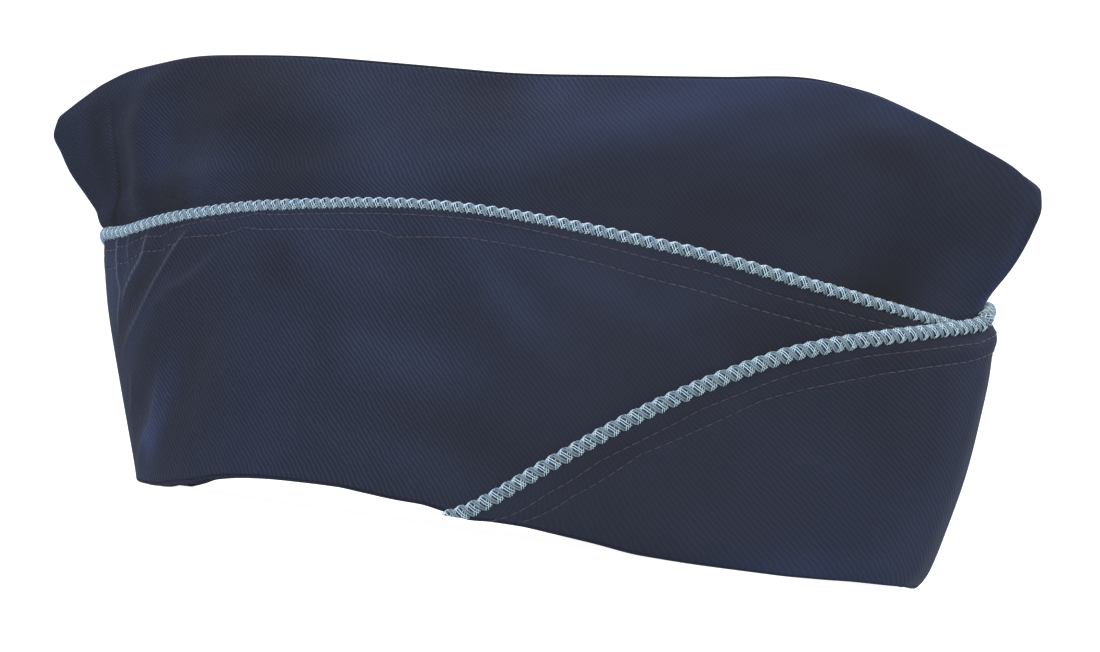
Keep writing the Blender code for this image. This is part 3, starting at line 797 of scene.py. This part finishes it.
class CurtainCloth:
    def __init__(self, left, end, gathers, rows):
        self.left, self.gathers, self.rows = left, gathers, rows
        self.flat = ClothMap(lambda path, share: self.points(path, share, 1, 0.0), end)

    def points(self, path, share, depth, relief):
        run = CurtainRun(path, self.left)
        return run.face(share * run.pipingLevel(), depth, relief)

    def relief(self, place):
        gathered, worn = creaseRelief(self.flat, place, self.gathers)
        return gathered + seamRelief(self.flat, place, self.rows), worn

    def grid(self, path):
        # Heights of the rows, as shares, for each place along the curtain
        upper, lower = (np.interp(path, *np.array(row).T) for row in self.rows)
        run = CurtainRun(path, self.left)
        tall = run.height - hemHeight(run.round, run.side)
        low = cap["cloth"] / 2 / tall
        top = 1 - curtain["tuck"] / tall
        near = np.minimum(meshRows["halfBand"] / tall, (top - low) / meshRows["bandsInHeight"])
        lower = np.maximum(lower, low + meshRows["lowerRoom"] * near)
        upper = np.clip(upper, lower + meshRows["upperRoom"] * near, top - near)
        knots = (low, lower - near, lower + near, upper - near, upper + near, top)
        return between(knots, meshRows["counts"])

    def wall(self, name, path, grain):
        share = self.grid(path)
        pairs = list(range(0, len(share), curtain["innerStep"]))
        if pairs[-1] != len(share) - 1:
            pairs.append(len(share) - 1)
        place = self.flat.at(path[None, :] + 0 * share, share)
        relief, worn = self.relief(place)
        outer = self.points(path[None, :], share, 1, relief)
        inner = self.points(path[None, :], share[pairs], 0, 0.0)
        run = CurtainRun(path, self.left)
        level = share * run.pipingLevel()
        # Painted light and shade of the folds, from the curtain's table and then the flap's
        onFlap = ease((path - 1) / curtain["toneBlend"] + 0.5)
        tone = mix(paintedFoldTone(run.round, level, 1), paintedFoldTone(run.round, level, 2), onFlap)
        return clothWall(name, outer, inner, pairs, place, grain, {"wearAndHighlight": worn, "paintedFoldShading": tone})

    def rowLine(self, row):
        # A stitched row as points on the finished face
        path = np.linspace(row[0][0], row[-1][0], seam["linePoints"])
        share = np.interp(path, *np.array(row).T)
        place = self.flat.at(path, share)
        return self.points(path, share, 1, self.relief(place)[0] + seam["threadLift"])


crownRight = makeCrownPanel("crownRight", -1)
crownLeft = makeCrownPanel("crownLeft", 1)
crownTop = makeCrownTop("crownTop")
print("crown made", len(crownRight.data.polygons), len(crownTop.data.polygons))
flapTurn = 2 - curtain["flapEnd"]
rightCloth = CurtainCloth(False, 1, rightGathers, rightRows)
leftCloth = CurtainCloth(True, flapTurn, leftGathers, leftRows)
rightPath = between(curtain["rightKnots"], curtain["rightCounts"])
leftPath = between((*curtain["leftKnots"], flapTurn), curtain["leftCounts"])
curtainRight = rightCloth.wall("curtainRight", rightPath, curtain["grain"])
curtainLeft = leftCloth.wall("curtainLeft", leftPath, curtain["flapGrain"])
print("curtains made", len(curtainRight.data.polygons), len(curtainLeft.data.polygons))


# Braided piping: smooth bands of yarns plaited with loose ones over a core, by Geometry Nodes
braid = {
    "step": 0.0005,
    "pitch": 0.0064,        # one turn of a band
    "bands": 2,             # of each kind
    "orbit": 0.00168,
    "wave": 0.00024,        # how far a band rises over and dips under the others
    "tilt": 0.30,           # radians above the cord's middle at which the smooth bands lie on top
    "coreRadius": 0.00130, "coreSides": 8,
    # For each kind of band: its yarns side by side, radians between them, their radius and sides
    "smoothYarns": 2, "smoothApart": 0.62, "smoothRadius": 0.00024, "smoothSides": 6,
    "looseYarns": 3, "looseApart": 0.60, "looseRadius": 0.00011, "looseSides": 4,
    "fineYarns": 2, "fineApart": 0.60, "fineRadius": 0.00011, "fineSides": 4,
}
# Kind, yarn, way round, place between the smooth bands, and over (1) or under (-1) where those rise
bandKinds = [
    ("loose", "weaveYarn", -1, 0.0, -1),
    ("fine", "weaveYarn", 1, 0.5, -1),
    ("smooth", "smoothYarn", 1, 0.0, 1),
]
piping = {
    "linePoints": 900,
    "tailRound": 0.592, "tailReach": 0.012, "tailStep": 0.02,   # where the left braid is cut off
}


def groupTree(name, inputs):
    tree = bpy.data.node_groups.new(name, "GeometryNodeTree")
    tree.interface.new_socket("Geometry", in_out="INPUT", socket_type="NodeSocketGeometry")
    for label, value in inputs.items():
        kind = "NodeSocketInt" if isinstance(value, int) else "NodeSocketFloat"
        socket = tree.interface.new_socket(label, in_out="INPUT", socket_type=kind)
        socket.default_value = value
    tree.interface.new_socket("Geometry", in_out="OUTPUT", socket_type="NodeSocketGeometry")
    maker = NodeMaker(tree)
    entry = tree.nodes.new("NodeGroupInput")
    given = {socket.name: Wire(maker, socket) for socket in entry.outputs if socket.name}
    return maker, given


def finish(maker, geometry, material):
    smooth = maker.add("GeometryNodeSetShadeSmooth", {}, {"Geometry": geometry})
    real = maker.add("GeometryNodeRealizeInstances", {}, {"Geometry": smooth})
    return maker.add("GeometryNodeSetMaterial", {}, {"Geometry": real, "Material": material})


def sendOut(maker, geometry):
    maker.feed(maker.tree.nodes.new("NodeGroupOutput"), {"Geometry": geometry})
    return maker.tree


def sweep(maker, given, kind, line, yarn):
    section = maker.add("GeometryNodeCurvePrimitiveCircle", {},
                        {"Resolution": given[kind + "Sides"], "Radius": given[kind + "Radius"]})
    tube = maker.add("GeometryNodeCurveToMesh", {},
                     {"Curve": line, "Profile Curve": section, "Fill Caps": True})
    return finish(maker, tube, yarnMaterials[yarn])


def windYarns(maker, given, line, kind, yarn, way, place, over):
    # Copies of the line moved off it by an angle round it, each swept with a round section
    full = 2 * math.pi
    yarnCount = given[kind + "Yarns"]
    copies = maker.add("GeometryNodeDuplicateElements", {"domain": "SPLINE"},
                       {"Geometry": line, "Amount": given["bands"] * yarnCount})
    number = copies.beside("Duplicate Index")
    turns = maker.add("GeometryNodeSplineParameter", output=1) / given["pitch"]
    band = (number.math("MODULO", given["bands"]) + place) / given["bands"] * full
    inBand = (number / given["bands"]).math("FLOOR") - (yarnCount - 1) * 0.5
    angle = given["tilt"] + band + turns * (full * way) + inBand * given[kind + "Apart"]
    wave = (turns * given["bands"] * full).math("COSINE")
    distance = given["orbit"] - wave * given["wave"] * over
    normal = maker.add("GeometryNodeInputNormal")
    tangent = maker.add("GeometryNodeInputTangent")
    cross = maker.vector("CROSS_PRODUCT", tangent, normal)
    offset = maker.vector("ADD", maker.vector("SCALE", normal, angle.math("COSINE") * distance),
                          maker.vector("SCALE", cross, angle.math("SINE") * distance))
    moved = maker.add("GeometryNodeSetPosition", {}, {"Geometry": copies, "Offset": offset})
    return sweep(maker, given, kind, moved, yarn)


def makeBraidTree(values):
    maker, given = groupTree("braidedPiping", values)
    line = maker.add("GeometryNodeResampleCurve", {"mode": "LENGTH"},
                     {"Curve": given["Geometry"], "Length": given["step"]})
    line = maker.add("GeometryNodeSetCurveNormal", {"mode": "Z_UP"}, {"Curve": line})
    parts = [sweep(maker, given, "core", line, "coreYarn")]
    parts += [windYarns(maker, given, line, *kind) for kind in bandKinds]
    joined = maker.add("GeometryNodeJoinGeometry")
    for part in parts:
        maker.feed(joined.socket.node, {0: part})
    return sendOut(maker, joined)


def pathObject(name, points):
    curve = bpy.data.curves.new(name + "Path", "CURVE")
    curve.dimensions = "3D"
    spline = curve.splines.new("POLY")
    spline.points.add(len(points) - 1)
    spline.points.foreach_set("co", np.c_[points, np.ones(len(points))].astype(np.float32).ravel())
    return addObject(name + "Path", curve)


def bake(name, points, tree, values):
    # Runs a tree on a path and keeps the result as a plain mesh
    path = pathObject(name, points)
    modifier = path.modifiers.new("build", "NODES")
    modifier.node_group = tree
    sockets = {item.name: item.identifier for item in tree.interface.items_tree
               if item.in_out == "INPUT" and item.socket_type != "NodeSocketGeometry"}
    for label, value in values.items():
        modifier[sockets[label]] = value
    graph = bpy.context.evaluated_depsgraph_get()
    evaluated = path.evaluated_get(graph)
    data = bpy.data.meshes.new_from_object(evaluated, preserve_all_data_layers=True, depsgraph=graph)
    data.name = name
    piece = addObject(name, data)
    bpy.data.objects.remove(path)
    return piece


braidTree = makeBraidTree(braid)


def makePiping(name, left, start, end, fullness, sag):
    line = CurtainRun(np.linspace(start, end, piping["linePoints"]), left).piping()
    line[:, 2] -= sag
    values = dict(braid, tilt=math.pi / 2 + braid["tilt"] * (1 if left else -1))
    for part in ("orbit", "coreRadius"):
        values[part] = braid[part] * fullness
    return bake(name, line, braidTree, values)


def cutTail(piece):
    # The braid's end is cut off flush with the hem
    tail = 2 - piping["tailRound"]
    hem = CurtainRun(np.array([tail - piping["tailStep"], tail]), True).face(np.zeros(2), 1)
    slope = Vector(hem[1] - hem[0])
    normal = Vector((-slope.z, 0.0, slope.x))
    normal *= -1 if normal.z > 0 else 1
    mesh = bmesh.new()
    mesh.from_mesh(piece.data)
    below = [f for f in mesh.faces
             if (f.calc_center_median() - Vector(hem[1])).length < piping["tailReach"]]
    geometry = list(dict.fromkeys(part for f in below for part in (f, *f.edges, *f.verts)))
    cut = bmesh.ops.bisect_plane(mesh, geom=geometry, plane_co=hem[1], plane_no=normal,
                                 clear_outer=True)
    edges = [part for part in cut["geom_cut"] if isinstance(part, bmesh.types.BMEdge)]
    bmesh.ops.edgeloop_fill(mesh, edges=edges)
    mesh.to_mesh(piece.data)
    mesh.free()


pipingRight = makePiping("pipingRight", False, start=0.002, end=0.978, fullness=0.94, sag=0.0008)
flapFoot = 2 - flap["round"][0]
pipingLeft = makePiping("pipingLeft", True, start=0.002, end=flapFoot, fullness=1.10, sag=0.0004)
cutTail(pipingLeft)
print("piping made", len(pipingRight.data.polygons), len(pipingLeft.data.polygons))


# Stitches: one short thread after another along a stitched row, by Geometry Nodes
stitch = {"pitch": seam["pitch"], "threadLength": 0.0024, "threadRadius": 0.00014,
          "segments": 6, "rings": 5}


def makeStitchTree(values):
    maker, given = groupTree("stitchedRow", values)
    points = maker.add("GeometryNodeCurveToPoints", {"mode": "LENGTH"},
                       {"Curve": given["Geometry"], "Length": given["pitch"]})
    thread = maker.add("GeometryNodeMeshUVSphere", {},
                       {"Segments": given["segments"], "Rings": given["rings"], "Radius": 1.0})
    radius = given["threadRadius"]
    slim = maker.add("ShaderNodeCombineXYZ", {},
                     {"X": radius, "Y": radius, "Z": given["threadLength"] * 0.5})
    shaped = maker.add("GeometryNodeTransform", {}, {"Geometry": thread, "Scale": slim})
    placed = maker.add("GeometryNodeInstanceOnPoints", {},
                       {"Points": points, "Instance": shaped, "Rotation": points.beside("Rotation")})
    return sendOut(maker, finish(maker, placed, yarnMaterials["seamThread"]))


stitchTree = makeStitchTree(stitch)
stitchPieces = []
for side, cloth in (("Right", rightCloth), ("Left", leftCloth)):
    for place, row in zip(("Upper", "Lower"), cloth.rows):
        stitchPieces.append(bake("stitches" + side + place, cloth.rowLine(row), stitchTree, stitch))
print("stitches made", [len(piece.data.polygons) for piece in stitchPieces])


# What each piece stands for in the frame
pieces = [
    (crownRight, "crown_right", "cloth"), (crownLeft, "crown_left", "cloth"),
    (crownTop, "crown_top", "cloth"),
    (curtainRight, "curtain_right", "cloth"), (curtainLeft, "curtain_left", "cloth"),
    (pipingRight, "piping_right", "piping"), (pipingLeft, "piping_left", "piping"),
]
for piece, node, slotName in pieces:
    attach(piece, "root")
    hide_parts(node)
for piece in stitchPieces:
    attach(piece, "root")


# The studio: a pale round sweep, soft light from above and the photo's viewing angle
studio = {
    "flatRadius": 3.3, "bend": 2.7, "bendSteps": 24, "wallHeight": 3.0, "sides": 128,
    "colour": (0.50, 0.50, 0.50, 1.0), "roughness": 0.9,
    "glow": 0.98, "glowColour": (1.0, 1.0, 1.0, 1.0),
    "world": (0.78, 0.85, 1.0, 1.0), "worldStrength": 0.81,
    "lightDistance": 1.4, "lightSize": 0.8,
    "aim": (0.0, 0.0, 0.06),
}
# Azimuth runs from the right side of the cap (0) to its front (90)
lights = {
    "above": {"azimuth": 32.0, "height": 85.0, "power": 6.4, "colour": (0.45, 0.58, 1.0)},
    "left": {"azimuth": -15.0, "height": 25.0, "power": 8.4, "colour": (0.90, 0.91, 1.0)},
    "before": {"azimuth": 32.0, "height": 12.0, "power": 9.0, "colour": (1.0, 0.85, 0.35)},
    "right": {"azimuth": 115.0, "height": 25.0, "power": 11.3, "colour": (1.0, 0.98, 1.0)},
    "behind": {"azimuth": 212.0, "height": 45.0, "power": 1.6, "colour": (0.4, 0.5, 1.0)},
}
view = {
    "azimuth": 32.0, "elevation": -1.3, "roll": 7.8, "distance": 1.365,
    "target": (0.0155, 0.0, 0.0538), "lens": 175.4, "sensor": 36.0,
}


def wayFrom(azimuth, height):
    azimuth, height = math.radians(azimuth), math.radians(height)
    return Vector((math.sin(azimuth) * math.cos(height), -math.cos(azimuth) * math.cos(height),
                   math.sin(height)))


def makeSweep(look):
    turns = np.linspace(0, np.pi / 2, look["bendSteps"])
    radii = np.append(look["flatRadius"] + look["bend"] * np.sin(turns), look["flatRadius"] + look["bend"])
    heights = np.append(look["bend"] * (1 - np.cos(turns)), look["bend"] + look["wallHeight"])
    around = np.linspace(0, 2 * np.pi, look["sides"], endpoint=False)
    points = [(0.0, 0.0, 0.0)]
    for radius, height in zip(radii, heights):
        points += [(radius * math.cos(a), radius * math.sin(a), height) for a in around]
    count = len(around)
    faces = [(0, 1 + k, 1 + (k + 1) % count) for k in range(count)]
    for ring in range(len(radii) - 1):
        base = 1 + ring * count
        for k in range(count):
            after = (k + 1) % count
            faces.append((base + k, base + count + k, base + count + after, base + after))
    data = bpy.data.meshes.new("floorSweep")
    data.from_pydata(points, [], faces)
    data.shade_smooth()
    material, maker, shader = newMaterial("paleFloor")
    maker.feed(shader, {"Base Color": look["colour"], "Roughness": look["roughness"],
                        "Emission Color": look["glowColour"], "Emission Strength": look["glow"]})
    data.materials.append(material)
    backdrop = addObject("floorSweep", data)
    backdrop.visible_diffuse = False     # it shows, but throws no light back on the cap
    backdrop.visible_glossy = False


def addLight(name, azimuth, height, power, colour):
    way = wayFrom(azimuth, height)
    lamp = bpy.data.lights.new(name, "AREA")
    lamp.shape = "DISK"
    lamp.size = studio["lightSize"]
    lamp.energy = power
    lamp.color = colour
    holder = addObject(name, lamp)
    holder.location = Vector(studio["aim"]) + way * studio["lightDistance"]
    holder.rotation_euler = (-way).to_track_quat("-Z", "Y").to_euler()


def makeStudio():
    makeSweep(studio)
    world = bpy.data.worlds.new("softBox")
    world.use_nodes = True
    NodeMaker(world.node_tree).feed(world.node_tree.nodes["Background"],
                                    {"Color": studio["world"], "Strength": studio["worldStrength"]})
    bpy.context.scene.world = world
    for name, lamp in lights.items():
        addLight(name, **lamp)


def makeCamera():
    azimuth, roll = math.radians(view["azimuth"]), math.radians(view["roll"])
    back = wayFrom(view["azimuth"], view["elevation"])
    right = Vector((math.cos(azimuth), math.sin(azimuth), 0.0))
    up = back.cross(right)
    across = right * math.cos(roll) + up * math.sin(roll)
    upright = up * math.cos(roll) - right * math.sin(roll)
    matrix = Matrix((across, upright, back)).transposed().to_4x4()
    matrix.translation = Vector(view["target"]) + back * view["distance"]
    data = bpy.data.cameras.new("photoView")
    data.sensor_width = view["sensor"]
    data.sensor_fit = "HORIZONTAL"
    data.lens = view["lens"]
    camera = addObject("photoView", data)
    camera.matrix_world = matrix
    bpy.context.scene.camera = camera


makeStudio()
makeCamera()
bpy.context.scene.view_settings.view_transform = "Standard"
print("studio made")
